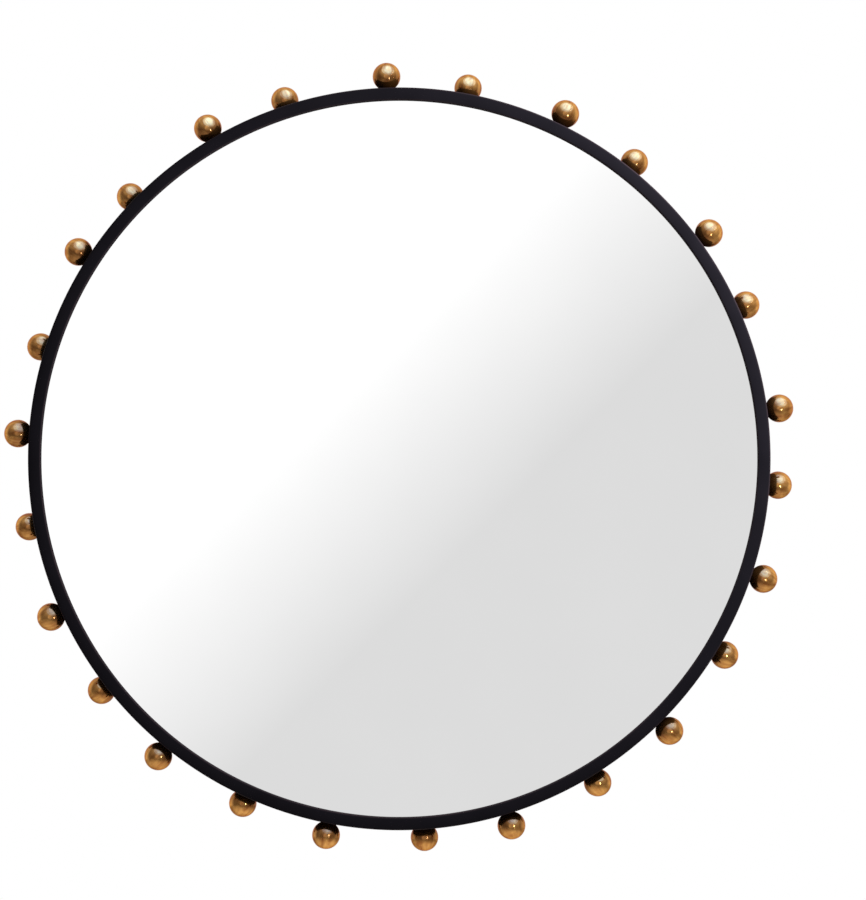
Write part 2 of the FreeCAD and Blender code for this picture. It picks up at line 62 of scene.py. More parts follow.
def roundCorners(corners, radii, steps=6):
    # every corner becomes an arc tangent to its two sides: with turn the change of direction there,
    # the arc starts radius * tan(turn / 2) before the corner, its centre one radius to the inner side
    corners = np.asarray(corners, float)
    radii = np.broadcast_to(np.asarray(radii, float), len(corners))[:, None]
    into = corners - np.roll(corners, 1, 0)
    into /= np.linalg.norm(into, axis=1, keepdims=True)
    out = np.roll(into, -1, 0)
    turn = np.arctan2(into[:, 0] * out[:, 1] - into[:, 1] * out[:, 0], (into * out).sum(1))[:, None]
    start = corners - into * radii * np.abs(np.tan(turn / 2))
    centre = start + np.sign(turn) * np.stack((-into[:, 1], into[:, 0]), 1) * radii
    first = np.arctan2(start[:, 1] - centre[:, 1], start[:, 0] - centre[:, 0])[:, None]
    angle = first + turn * np.linspace(0, 1, steps)
    line = centre[:, None] + radii[:, None] * np.stack((np.cos(angle), np.sin(angle)), -1)
    line = line.reshape(-1, 2)
    return line[np.linalg.norm(line - np.roll(line, 1, 0), axis=1) > hair]


def gridFaces(rows, cols, wrapRows, wrapCols):
    # cell (i, j) joins points (i, j), (i, j + 1), (i + 1, j + 1) and (i + 1, j); a wrapped way joins the
    # last row or column to the first
    high, wide = rows - (not wrapRows), cols - (not wrapCols)
    i, j = (n.reshape(-1, 1) for n in np.meshgrid(np.arange(high), np.arange(wide), indexing="ij"))
    di, dj = np.array([0, 0, 1, 1]), np.array([0, 1, 1, 0])
    faces = (i + di) % rows * cols + (j + dj) % cols
    return faces, np.stack(((j + dj) / wide, (i + di) / high), -1)


def lathe(profile, steps, closed=False):
    # point (i, j) is rho_i from the axis at the angle phi_j, at the height h_i along it; a closed profile
    # wraps round, an open one starts and ends on the axis in one point each
    profile = np.asarray(profile, float)
    phi = np.linspace(0, 2 * np.pi, steps, endpoint=False)
    rings = profile if closed else profile[1:-1]
    rho, height = rings[:, :1], rings[:, 1:]
    points = np.stack((rho * np.cos(phi), rho * np.sin(phi), height + 0 * phi), -1).reshape(-1, 3)
    faces, uv = gridFaces(len(rings), steps, closed, True)
    if closed:
        return points, [faces], [uv]
    j = np.arange(steps)
    low, high = len(points), len(points) + 1
    lastRow = (len(rings) - 1) * steps
    lowFan = np.stack((np.full(steps, low), (j + 1) % steps, j), -1)
    highFan = np.stack((lastRow + j, lastRow + (j + 1) % steps, np.full(steps, high)), -1)
    ends = np.array([(0, 0, profile[0, 1]), (0, 0, profile[-1, 1])])
    lowUv = np.stack((np.stack((j + 0.5, j + 1, j), -1) / steps, np.zeros((steps, 3))), -1)
    highUv = np.stack((np.stack((j, j + 1, j + 0.5), -1) / steps, np.ones((steps, 3))), -1)
    return np.vstack((points, ends)), [faces, lowFan, highFan], [uv, lowUv, highUv]


def stack(rings, wrapAlong=False):
    # outlines (i) of matching points (j) are skinned one to the next; an open stack is capped by its two
    # end outlines
    rings = np.asarray(rings, float)
    rows, cols = rings.shape[:2]
    faces, uv = gridFaces(rows, cols, wrapAlong, True)
    if wrapAlong:
        return rings.reshape(-1, 3), [faces], [uv]
    caps = np.stack((np.arange(cols)[::-1], (rows - 1) * cols + np.arange(cols)))
    return rings.reshape(-1, 3), [faces, caps], [uv, np.zeros((2, cols, 2))]


def placed(shape, axes, origins=(0, 0, 0)):
    # a local point (a, b, h) goes to origin + a * axisA + b * axisB + h * axisH, once for every place given
    points, faces, uv = shape
    axes = np.asarray(axes, float).reshape(-1, 3, 3)
    origins = np.asarray(origins, float).reshape(-1, 1, 3)
    spots = (np.einsum("nk,mkd->mnd", points, axes) + origins).reshape(-1, 3)
    step = np.arange(len(axes)).reshape(-1, 1, 1) * len(points)
    allFaces = [(f + step).reshape(-1, f.shape[1]) for f in faces]
    return spots, allFaces, [np.tile(u, (len(axes), 1, 1)) for u in uv]


def volume(points, faces):
    # a sixth of the sum of a . (b x c) over every face cut into a fan of triangles
    total = 0
    for f in faces:
        a = points[f[:, :1]]
        total += (a * np.cross(points[f[:, 1:-1]], points[f[:, 2:]])).sum() / 6
    return total


def addPiece(name, shape, finish, nodes, body="frame", sharp=35, bevel=0):
    points, faces, uv = shape
    if volume(points, faces) < 0:  # faces point outwards
        faces, uv = [f[:, ::-1] for f in faces], [u[:, ::-1] for u in uv]
    mesh = bpy.data.meshes.new(name)
    mesh.from_pydata((points * mm).tolist(), [], [row for f in faces for row in f.tolist()])
    mesh.uv_layers.new(name="turning").data.foreach_set("uv", np.concatenate([u.ravel() for u in uv]))
    mesh.shade_smooth()
    mesh.set_sharp_from_angle(angle=np.radians(sharp))
    mesh.materials.append(finish)
    piece = bpy.data.objects.new(name, mesh)
    scene.collection.objects.link(piece)
    if bevel:
        soft = piece.modifiers.new("softEdges", "BEVEL")
        soft.width, soft.segments, soft.limit_method = bevel * mm, 2, "ANGLE"
    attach(piece, body)
    if nodes:
        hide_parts(*nodes)
    return piece


ringAxes = (towardZ, towardX, towardY)  # turned round the mirror's own axis, from the top, clockwise
rearAxes = (towardX, towardZ, towardY)  # seen from the wall: across, up, towards the wall


def radialAxes(turn):
    # at a turn round the hoop: along the hoop, towards the wall, outwards
    turn = np.atleast_1d(turn)
    zero = 0 * turn
    along = np.stack((np.cos(turn), zero, -np.sin(turn)), -1)
    outward = np.stack((np.sin(turn), zero, np.cos(turn)), -1)
    return np.stack((along, np.tile(towardY, (len(turn), 1)), outward), 1)


def turnOf(node):
    low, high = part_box(node)  # a node's turn round the hoop, from the middle of its box
    return np.arctan2(low.x + high.x, low.z + high.z)


# Materials.

def addNode(tree, kind, inputs=None, **settings):
    # an input is a constant, a socket to link, or a node, which is linked by its first output in use;
    # a Mix of colours takes its share at 0 and the two colours at 6 and 7
    node = tree.nodes.new("ShaderNode" + kind)
    for key, value in settings.items():
        setattr(node, key, value)
    for key, value in (inputs or {}).items():
        if isinstance(value, bpy.types.Node):
            value = next(socket for socket in value.outputs if socket.enabled)
        if isinstance(value, bpy.types.NodeSocket):
            tree.links.new(value, node.inputs[key])
        else:
            node.inputs[key].default_value = value
    return node


def newFinish(name):
    finish = bpy.data.materials.new(name)
    finish.use_nodes = True
    tree = finish.node_tree
    tree.nodes.clear()
    return finish, tree, addNode(tree, "TexCoord").outputs["Object"]


def fromAxis(tree, place):
    # distance from the mirror's own axis, the length of (x, 0, z)
    flat = addNode(tree, "VectorMath", {0: place, 1: (1, 0, 1)}, operation="MULTIPLY")
    return addNode(tree, "VectorMath", {0: flat}, operation="LENGTH")


# Powder coat, sprayed dry on steel and baked: a near-black satin skin with a violet cast, faint orange peel
# and cloudy gloss, and brown along the lip's rounded edges, partly a thinner film and partly a painted
# highlight.
coat = dict(dark="#0B0A0D", light="#131115", edgeFilmAndHighlight="#2B2124", sheen="#F0DFEA", gloss=0.02, rough=(0.44, 0.54),
            cloud=45, cloudSpan=(0.3, 0.7), peel=1.6, peelDepth=0.025, peelShow=0.6,
            filmAndHighlightIn=366.6, filmAndHighlightOut=376.6, fade=1.2, lipBack=-73.4)


def powderCoat():
    finish, tree, place = newFinish("blackPowderCoat")
    cloud = addNode(tree, "TexNoise", {"Vector": place, "Scale": perMetre(coat["cloud"]), "Detail": 3})
    body = addNode(tree, "Mix", {0: cloud, 6: hexColour(coat["dark"]), 7: hexColour(coat["light"])},
                   data_type="RGBA")
    # the film thins over the last bit of the lip's inner and outer rounds, in front of lipBack; its brown
    # there is also a painted highlight on those rounds
    reach = fromAxis(tree, place)
    depth = addNode(tree, "SeparateXYZ", {0: place}).outputs[1]
    inner = addNode(tree, "MapRange", {"Value": reach, "From Min": coat["filmAndHighlightIn"] * mm,
                    "From Max": (coat["filmAndHighlightIn"] - coat["fade"]) * mm})
    outer = addNode(tree, "MapRange", {"Value": reach, "From Min": coat["filmAndHighlightOut"] * mm,
                    "From Max": (coat["filmAndHighlightOut"] + coat["fade"]) * mm})
    either = addNode(tree, "Math", {0: inner, 1: outer}, operation="MAXIMUM")
    ahead = addNode(tree, "Math", {0: depth, 1: coat["lipBack"] * mm}, operation="LESS_THAN")
    edgeFilmAndHighlight = addNode(tree, "Math", {0: either, 1: ahead}, operation="MULTIPLY")
    patchyFilmAndHighlight = addNode(tree, "Math", {0: edgeFilmAndHighlight, 1: cloud}, operation="MULTIPLY")
    # painted highlight: brown mixed in along the lip's rounded edges, patchy with the clouds
    tone = addNode(tree, "Mix", {0: patchyFilmAndHighlight, 6: body, 7: hexColour(coat["edgeFilmAndHighlight"])}, data_type="RGBA")
    # real orange peel is about 0.5 mm, drawn coarser so that it shows
    peel = addNode(tree, "TexNoise", {"Vector": place, "Scale": perMetre(coat["peel"]), "Detail": 2})
    rough = addNode(tree, "MapRange", {"Value": cloud, "From Min": coat["cloudSpan"][0],
                    "From Max": coat["cloudSpan"][1], "To Min": coat["rough"][0], "To Max": coat["rough"][1]})
    bump = addNode(tree, "Bump", {"Strength": coat["peelShow"], "Distance": coat["peelDepth"] * mm,
                   "Height": peel})
    skin = addNode(tree, "BsdfPrincipled", {"Base Color": tone, "Roughness": rough, "Normal": bump,
                   "Specular IOR Level": coat["gloss"], "Specular Tint": hexColour(coat["sheen"])})
    addNode(tree, "OutputMaterial", {"Surface": skin})
    return finish


# Brass, turned on a lathe about the screw's axis, toned brown and lacquered: bright gold with faint clouds
# and rub marks, with painted shade that deepens it to brown on the side towards the hoop, and fine rings
# round the axis that draw lights out into streaks.
brass = dict(bright="#D1974F", toned="#985B24", brown="#5E3112", edge="#DDA45E", metal=0.95,
             grain=0.65, grainTurn=0.25, lacquer=0.35, lacquerRough=0.08, mottle=9.0, wander=0.6,
             rubs=26, rubLength=1.5, rubShift=60, toning=(0.82, 1.3), speck=1.6, specks=(0.68, 0.8),
             speckAndShadeShare=0.8, paintedHoopShade=(0.22, 0.66), rough=(0.11, 0.19), roughSpan=(0.75, 1.25),
             ringCount=26, ringRise=0.06, bump=0.4, bumpDepth=0.1)


def turnedBrass():
    finish, tree, place = newFinish("turnedBrass")
    turning = addNode(tree, "UVMap", uv_map="turning")
    lap, along, _ = addNode(tree, "SeparateXYZ", {0: turning}).outputs
    mottle = addNode(tree, "TexNoise", {"Vector": place, "Scale": perMetre(brass["mottle"]), "Detail": 2,
                     "Distortion": brass["wander"]})
    # rub marks: noise on a circle of the turn round the axis, drawn out along it, shifted from ball to ball
    angle = addNode(tree, "Math", {0: lap, 1: 2 * np.pi}, operation="MULTIPLY")
    cosine = addNode(tree, "Math", {0: angle}, operation="COSINE")
    sine = addNode(tree, "Math", {0: angle}, operation="SINE")
    lane = addNode(tree, "CombineXYZ", {0: cosine, 1: sine, 2: along})
    circle, shift = brass["rubs"] / (2 * np.pi), perMetre(brass["rubShift"])
    lanes = addNode(tree, "VectorMath", {0: lane, 1: (circle, circle, brass["rubLength"])},
                    operation="MULTIPLY")
    shifted = addNode(tree, "VectorMath", {0: place, 1: (shift, shift, shift), 2: lanes},
                      operation="MULTIPLY_ADD")
    rub = addNode(tree, "TexNoise", {"Vector": shifted, "Scale": 1, "Detail": 3})
    speck = addNode(tree, "TexNoise", {"Vector": place, "Scale": perMetre(brass["speck"]), "Detail": 2})
    clouds = addNode(tree, "Math", {0: rub, 1: mottle}, operation="ADD")
    toning = addNode(tree, "MapRange", {"Value": clouds, "From Min": brass["toning"][0],
                     "From Max": brass["toning"][1]})
    specks = addNode(tree, "MapRange", {"Value": speck, "From Min": brass["specks"][0],
                     "From Max": brass["specks"][1]})
    # painted shade: brown towards the seat against the hoop, fading out along the ball
    paintedHoopShade = addNode(tree, "MapRange", {"Value": along, "From Min": brass["paintedHoopShade"][1],
                     "From Max": brass["paintedHoopShade"][0]}, interpolation_type="SMOOTHSTEP")
    rubbed = addNode(tree, "Mix", {0: toning, 6: hexColour(brass["bright"]), 7: hexColour(brass["toned"])},
                     data_type="RGBA")
    specksAndShade = addNode(tree, "Math", {0: specks, 1: paintedHoopShade}, operation="MAXIMUM")
    share = addNode(tree, "Math", {0: specksAndShade, 1: brass["speckAndShadeShare"]}, operation="MULTIPLY")
    tone = addNode(tree, "Mix", {0: share, 6: rubbed, 7: hexColour(brass["brown"])}, data_type="RGBA")
    rough = addNode(tree, "MapRange", {"Value": clouds, "From Min": brass["roughSpan"][0],
                    "From Max": brass["roughSpan"][1], "To Min": brass["rough"][0],
                    "To Max": brass["rough"][1]})
    # turning rings are about 0.1 mm apart, drawn wider so that they show
    rings = addNode(tree, "Math", {0: along, 1: 2 * np.pi * brass["ringCount"]}, operation="MULTIPLY")
    ridge = addNode(tree, "Math", {0: rings}, operation="SINE")
    height = addNode(tree, "Math", {0: ridge, 1: brass["ringRise"], 2: mottle}, operation="MULTIPLY_ADD")
    bump = addNode(tree, "Bump", {"Strength": brass["bump"], "Distance": brass["bumpDepth"] * mm,
                   "Height": height})
    around = addNode(tree, "Tangent", direction_type="UV_MAP", uv_map="turning")
    # lights run across the turning rings, and the edge tint keeps the metal gold at a glancing angle
    skin = addNode(tree, "BsdfPrincipled", {"Base Color": tone, "Roughness": rough, "Normal": bump,
                   "Tangent": around, "Metallic": brass["metal"], "Specular Tint": hexColour(brass["edge"]),
                   "Anisotropic": brass["grain"], "Anisotropic Rotation": brass["grainTurn"],
                   "Coat Weight": brass["lacquer"], "Coat Roughness": brass["lacquerRough"]})
    addNode(tree, "OutputMaterial", {"Surface": skin})
    return finish


# Float glass silvered behind: a clean cold mirror whose ground rim is frosted sea green.
silver = dict(tone="#FBFBFB", haze="#F7F7F7", rim="#9FC4B6", hazeSize=120, rimStart=369.6,
              mirrorRough=0.012, rimRough=0.5)


def silveredGlass():
    finish, tree, place = newFinish("silveredGlass")
    haze = addNode(tree, "TexNoise", {"Vector": place, "Scale": perMetre(silver["hazeSize"]), "Detail": 3})
    tone = addNode(tree, "Mix", {0: haze, 6: hexColour(silver["tone"]), 7: hexColour(silver["haze"])},
                   data_type="RGBA")
    rim = addNode(tree, "Math", {0: fromAxis(tree, place), 1: silver["rimStart"] * mm},
                  operation="GREATER_THAN")
    edge = addNode(tree, "Mix", {0: rim, 6: tone, 7: hexColour(silver["rim"])}, data_type="RGBA")
    metal = addNode(tree, "Math", {0: 1.0, 1: rim}, operation="SUBTRACT")
    rough = addNode(tree, "MapRange", {"Value": rim, "To Min": silver["mirrorRough"],
                    "To Max": silver["rimRough"]})
    skin = addNode(tree, "BsdfPrincipled", {"Base Color": edge, "Metallic": metal, "Roughness": rough})
    addNode(tree, "OutputMaterial", {"Surface": skin})
    return finish


# Hardboard pressed from wood fibre: warm mid brown, felted short fibres, dark flecks, dry and matt.
fibre = dict(pale="#B08E68", deep="#8D6B4B", fleck="#573E29", strand=(9, 4, 1.2), layTurns=(0.35, 1.75),
             wander=0.8, blotch=40, blotchShare=0.35, feltSpan=(0.55, 0.95), fleckSize=2.2,
             fleckSpan=(0.66, 0.74), rough=0.72, bump=0.5, bumpDepth=0.12)


def hardboard():
    finish, tree, place = newFinish("hardboard")
    lays = []  # strands lie two ways, across each other
    for turn in fibre["layTurns"]:
        laid = addNode(tree, "Mapping", {"Vector": place, "Rotation": (0, turn, 0),
                       "Scale": [perMetre(size) for size in fibre["strand"]]})
        lays.append(addNode(tree, "TexNoise", {"Vector": laid, "Scale": 1, "Detail": 3,
                            "Distortion": fibre["wander"]}))
    felt = addNode(tree, "Math", {0: lays[0], 1: lays[1]}, operation="MAXIMUM")
    blotch = addNode(tree, "TexNoise", {"Vector": place, "Scale": perMetre(fibre["blotch"]), "Detail": 3})
    both = addNode(tree, "Math", {0: blotch, 1: fibre["blotchShare"], 2: felt}, operation="MULTIPLY_ADD")
    weight = addNode(tree, "MapRange", {"Value": both, "From Min": fibre["feltSpan"][0],
                     "From Max": fibre["feltSpan"][1]})
    tone = addNode(tree, "Mix", {0: weight, 6: hexColour(fibre["deep"]), 7: hexColour(fibre["pale"])},
                   data_type="RGBA")
    fleck = addNode(tree, "TexNoise", {"Vector": place, "Scale": perMetre(fibre["fleckSize"]), "Detail": 1})
    flecks = addNode(tree, "MapRange", {"Value": fleck, "From Min": fibre["fleckSpan"][0],
                     "From Max": fibre["fleckSpan"][1]})
    board = addNode(tree, "Mix", {0: flecks, 6: tone, 7: hexColour(fibre["fleck"])}, data_type="RGBA")
    bump = addNode(tree, "Bump", {"Strength": fibre["bump"], "Distance": fibre["bumpDepth"] * mm,
                   "Height": felt})
    skin = addNode(tree, "BsdfPrincipled", {"Base Color": board, "Roughness": fibre["rough"],
                   "Normal": bump})
    addNode(tree, "OutputMaterial", {"Surface": skin})
    return finish


# Closed-cell foam and moulded rubber: charcoal, matt, pitted by cells or dusted with bloom.
foamLook = dict(dark="#17171A", light="#2B2B2F", cell=0.8, depth=0.2, rough=0.85, bloom=12, bump=0.5)
rubberLook = dict(dark="#141416", light="#232326", cell=1.5, depth=0.05, rough=0.6, bloom=12, bump=0.5)


def softBlack(name, look):
    finish, tree, place = newFinish(name)
    cells = addNode(tree, "TexVoronoi", {"Vector": place, "Scale": perMetre(look["cell"])})
    bloom = addNode(tree, "TexNoise", {"Vector": place, "Scale": perMetre(look["bloom"]), "Detail": 4})
    tone = addNode(tree, "Mix", {0: bloom, 6: hexColour(look["dark"]), 7: hexColour(look["light"])},
                   data_type="RGBA")
    bump = addNode(tree, "Bump", {"Strength": look["bump"], "Distance": look["depth"] * mm,
                   "Height": cells})
    skin = addNode(tree, "BsdfPrincipled", {"Base Color": tone, "Roughness": look["rough"], "Normal": bump})
    addNode(tree, "OutputMaterial", {"Surface": skin})
    return finish


# Zinc plate on pressed steel: cold grey metal, cloudy, with fine drawn lines and dull spots.
zinc = dict(bright="#C9CCCE", specksAndShade="#8F9497", cloud=6, cloudSpan=(0.35, 0.68), line=(0.35, 0.35, 14),
            lineSpan=(0.3, 0.7), rough=(0.26, 0.44), bump=0.3, bumpDepth=0.02)


def zincPlate():
    finish, tree, place = newFinish("zincPlate")
    cloud = addNode(tree, "TexNoise", {"Vector": place, "Scale": perMetre(zinc["cloud"]), "Detail": 4})
    drawn = addNode(tree, "Mapping", {"Vector": place, "Scale": [perMetre(size) for size in zinc["line"]]})
    lines = addNode(tree, "TexNoise", {"Vector": drawn, "Scale": 1, "Detail": 2})
    weight = addNode(tree, "MapRange", {"Value": cloud, "From Min": zinc["cloudSpan"][0],
                     "From Max": zinc["cloudSpan"][1]})
    tone = addNode(tree, "Mix", {0: weight, 6: hexColour(zinc["bright"]), 7: hexColour(zinc["specksAndShade"])},
                   data_type="RGBA")
    rough = addNode(tree, "MapRange", {"Value": lines, "From Min": zinc["lineSpan"][0],
                    "From Max": zinc["lineSpan"][1], "To Min": zinc["rough"][0], "To Max": zinc["rough"][1]})
    bump = addNode(tree, "Bump", {"Strength": zinc["bump"], "Distance": zinc["bumpDepth"] * mm,
                   "Height": lines})
    skin = addNode(tree, "BsdfPrincipled", {"Base Color": tone, "Metallic": 1, "Roughness": rough,
                   "Normal": bump})
    addNode(tree, "OutputMaterial", {"Surface": skin})
    return finish


paint, gold, mirrorSkin = powderCoat(), turnedBrass(), silveredGlass()
boardSkin, plate = hardboard(), zincPlate()
foam, rubber = softBlack("closedCellFoam", foamLook), softBlack("mouldedRubber", rubberLook)
print("materials:", len(bpy.data.materials))


# Hoop and face lip, one round-cornered section each, turned round the mirror's axis. Below, a radius is from
# that axis, and a place in depth is from the wall, with the front at -76.2.

hoop = dict(inner=375.235, outer=378.235, front=-72.2, rear=0.0, rearRound=0.6, seamRound=0.15, around=720)
lip = dict(inner=365.235, outer=hoop["outer"], edge=-75.6, back=hoop["front"], crown=0.6, outerRound=2.0,
           innerRound=1.5, backRound=0.15, roundSteps=9, across=25, around=720)


def hoopSection():
    return roundCorners([(hoop["inner"], hoop["front"]), (hoop["outer"], hoop["front"]),
                         (hoop["outer"], hoop["rear"]), (hoop["inner"], hoop["rear"])],
                        [hoop["seamRound"]] * 2 + [hoop["rearRound"]] * 2)


def lipSection():
    # a box with rounded corners, bowed by crown * (1 - s^2) * depth^2, with s running -1 to 1 across it
    box = roundCorners([(lip["inner"], lip["back"]), (lip["inner"], lip["edge"]),
                        (lip["outer"], lip["edge"]), (lip["outer"], lip["back"])],
                       [lip["backRound"], lip["innerRound"], lip["outerRound"], lip["backRound"]],
                       lip["roundSteps"])
    onFace = np.flatnonzero(np.isclose(box[:, 1], lip["edge"]))
    start, end = box[onFace[0], 0], box[onFace[-1], 0]
    face = np.stack((np.linspace(start, end, lip["across"]), np.full(lip["across"], lip["edge"])), 1)[1:-1]
    section = np.vstack((box[:onFace[0] + 1], face, box[onFace[-1]:]))
    s = (section[:, 0] - lip["inner"]) / (lip["outer"] - lip["inner"]) * 2 - 1
    depth = (section[:, 1] - lip["back"]) / (lip["edge"] - lip["back"])  # 0 at the back, 1 at the front
    section[:, 1] -= lip["crown"] * (1 - s ** 2) * np.clip(depth, 0, 1) ** 2
    return section


hoopShape = placed(lathe(hoopSection(), hoop["around"], True), ringAxes)
addPiece("hoop", hoopShape, paint, ["outer_band"])
lipShape = placed(lathe(lipSection(), lip["around"], True), ringAxes)
addPiece("faceLip", lipShape, paint, ["face_ring"])
print("hoop and lip: done")


# Glass, its foam gasket and the board behind it.

pane = dict(radius=370.202, front=-71.2, back=-67.2, seam=0.5, sharp=20, around=360)
gasket = dict(inner=365.735, outer=369.702, front=lip["back"], back=pane["front"], bulge=0.35, around=360)
backing = dict(radius=pane["radius"], front=pane["back"], back=-61.2, edgeRound=0.4, around=360)

paneLine = [(0, pane["front"]), (pane["radius"] - pane["seam"], pane["front"]),
            (pane["radius"], pane["front"] + pane["seam"]), (pane["radius"], pane["back"] - pane["seam"]),
            (pane["radius"] - pane["seam"], pane["back"]), (0, pane["back"])]
addPiece("mirrorPane", placed(lathe(paneLine, pane["around"]), ringAxes), mirrorSkin,
         ["mirror_glass"], sharp=pane["sharp"])

gasketLine = roundCorners([(gasket["inner"], gasket["front"]), (gasket["outer"], gasket["front"]),
                           (gasket["outer"], gasket["back"]), (gasket["inner"], gasket["back"])],
                          gasket["bulge"])
addPiece("foamGasket", placed(lathe(gasketLine, gasket["around"], True), ringAxes), foam,
         ["glass_gasket"])

boardLine = roundCorners([(0, backing["front"]), (backing["radius"], backing["front"]),
                          (backing["radius"], backing["back"]), (0, backing["back"])],
                         [0, backing["edgeRound"], backing["edgeRound"], 0])
addPiece("backingBoard", placed(lathe(boardLine, backing["around"]), ringAxes), boardSkin,
         ["backing_board"])
print("glass, gasket and board: done")


# Balls, each with its flat against the hoop.

ball = dict(radius=14.3, circle=392.1, seat=3.5, seatLevel=hoop["outer"], around=72, along=54)


def ballLine():
    # a circle arc in (rho, h): rho = R sin(theta), h = circle + R cos(theta), with theta from the flat's rim
    # to the top
    theta = np.linspace(np.pi - np.arcsin(ball["seat"] / ball["radius"]), 0, ball["along"])
    arc = np.stack((ball["radius"] * np.sin(theta), ball["circle"] + ball["radius"] * np.cos(theta)), 1)
    arc[-1, 0] = 0
    return np.vstack(((0, ball["seatLevel"]), arc))


ballShape = lathe(ballLine(), ball["around"])
ballSpots = {}
ballGroup = bpy.data.collections.new("balls")  # what the lamps for the brass may light
for row in ("front", "rear"):
    names = sorted(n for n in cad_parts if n.startswith(f"{row}_ball_") and n[-2:].isdigit())
    low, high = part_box(names[0])
    ballSpots[row] = [turnOf(n) for n in names], (low.y + high.y) / 2 / mm
    for node, turn in zip(names, ballSpots[row][0]):
        spot = placed(ballShape, radialAxes(turn), (0, ballSpots[row][1], 0))
        ballGroup.objects.link(addPiece(f"{row}Ball.{node[-2:]}", spot, gold, [node]))
print("balls:", sum(len(turns) for turns, _ in ballSpots.values()))


# Screws with a cross recess, and washers, inside the hoop.

screw = dict(radius=2.5, head=4.75, top=371.0, rim=372.6, seat=374.2, tip=388.235, around=48, across=14,
             crossReach=2.5, crossHalf=0.62, crossDepth=1.5, edge=0.25)
washer = dict(hole=2.75, outer=5.0, low=screw["seat"], high=375.2, edge=0.15, edgeSteps=3, around=48)
boardScrew = dict(radius=1.75, head=3.5, top=-57.5, rim=-58.9, seat=-59.7, tip=-65.7, around=40, across=12,
                  crossReach=1.8, crossHalf=0.45, crossDepth=1.0, edge=0.2)
cut = dict(crowd=0.8, start=0.75, fade=0.5, shallow=0.5, taper=0.6, point=0.5)  # shares, for both kinds


def crossHead(spec):
    # the head is a dome, top + rise * (rho / head)^2; the recess lowers it by depth * (1 - smooth step)
    # * (1 - shallow * rho / reach), where the step is measured by w, the lesser of
    # max(|a| / reach, |b| / half) for two arms at right angles
    radius, head, seat, tip, edge = (spec[key] for key in ("radius", "head", "seat", "tip", "edge"))
    rho = np.linspace(0, 1, spec["across"]) ** cut["crowd"] * head
    rise = spec["rim"] - spec["top"]
    dome = np.stack((rho, spec["top"] + rise * (rho / head) ** 2), 1)
    way = np.sign(seat - spec["top"])
    skirt = [(head, seat - way * edge), (head - edge, seat), (radius, seat),
             (radius, tip - way * radius * cut["taper"]), (radius * cut["point"], tip), (0, tip)]
    points, faces, uv = lathe(np.vstack((dome, skirt)), spec["around"])
    a, b, h = points.T
    reach, half = spec["crossReach"], spec["crossHalf"]
    w = np.minimum(np.maximum(abs(a) / reach, abs(b) / half), np.maximum(abs(b) / reach, abs(a) / half))
    step = np.clip((w - cut["start"]) / cut["fade"], 0, 1)
    depth = spec["crossDepth"] * (1 - step * step * (3 - 2 * step))
    depth *= 1 - cut["shallow"] * np.hypot(a, b) / reach
    onDome = (h - spec["rim"]) * way <= hair
    points = np.stack((a, b, h + np.where(onDome, way * np.clip(depth, 0, None), 0)), 1)
    return points, faces, uv


washerLine = roundCorners([(washer["hole"], washer["low"]), (washer["outer"], washer["low"]),
                           (washer["outer"], washer["high"]), (washer["hole"], washer["high"])],
                          washer["edge"], washer["edgeSteps"])
for row, (turns, level) in ballSpots.items():
    axes, origins = radialAxes(np.array(turns)), np.tile((0, level, 0), (len(turns), 1))
    screws = placed(crossHead(screw), axes, origins)
    addPiece(f"{row}Screws", screws, plate, [f"{row}_ball_screws"])
    washers = placed(lathe(washerLine, washer["around"], True), axes, origins)
    addPiece(f"{row}Washers", washers, plate, [f"{row}_ball_washers"])
print("screws and washers: done")


# Bent brackets that hold the board, and their screws.

bracket = dict(inner=hoop["inner"], tip=353.235, low=backing["back"], high=-45.2, thick=1.5, bend=3.0,
               width=18.0, steps=13, arcSteps=8, hole=361.235, corner=3.0, soften=0.25)


def bracketShape():
    # an L section of the sheet's thickness, swept along the hoop; near the tip and the upper end its half
    # width is cut by corner - sqrt(corner^2 - (corner - d)^2), d from that end, which rounds the corners
    t, corner, n = bracket["thick"], bracket["corner"], bracket["arcSteps"]
    inner, tip, low, high = (bracket[key] for key in ("inner", "tip", "low", "high"))
    d = corner * (1 - np.cos(np.linspace(0, np.pi / 2, n)))  # close together where the corner is steep
    under = np.stack((tip + d, np.full(n, low)), 1)
    bend = roundCorners([(tip, low), (inner, low), (inner, high)], [0, bracket["bend"], 0], n)[1:-1]
    outside = np.stack((np.full(n, inner), high - d[::-1]), 1)
    inside = np.stack((np.full(n, inner - t), high - d), 1)
    hollow = roundCorners([(inner - t, high), (inner - t, low + t), (tip, low + t)],
                          [0, bracket["bend"] - t, 0], n)[1:-1]
    above = np.stack((tip + d[::-1], np.full(n, low + t)), 1)
    line = np.vstack((under, bend, outside, inside, hollow, above))
    fromEnd = np.clip(np.stack((line[:, 0] - tip, high - line[:, 1])), 0, corner)
    half = bracket["width"] / 2 - (corner - np.sqrt(corner ** 2 - (corner - fromEnd) ** 2)).sum(0)
    turn = np.linspace(-1, 1, bracket["steps"])[:, None] * half / inner
    r, y = line.T
    return stack(np.stack((r * np.sin(turn), y + 0 * turn, r * np.cos(turn)), -1))


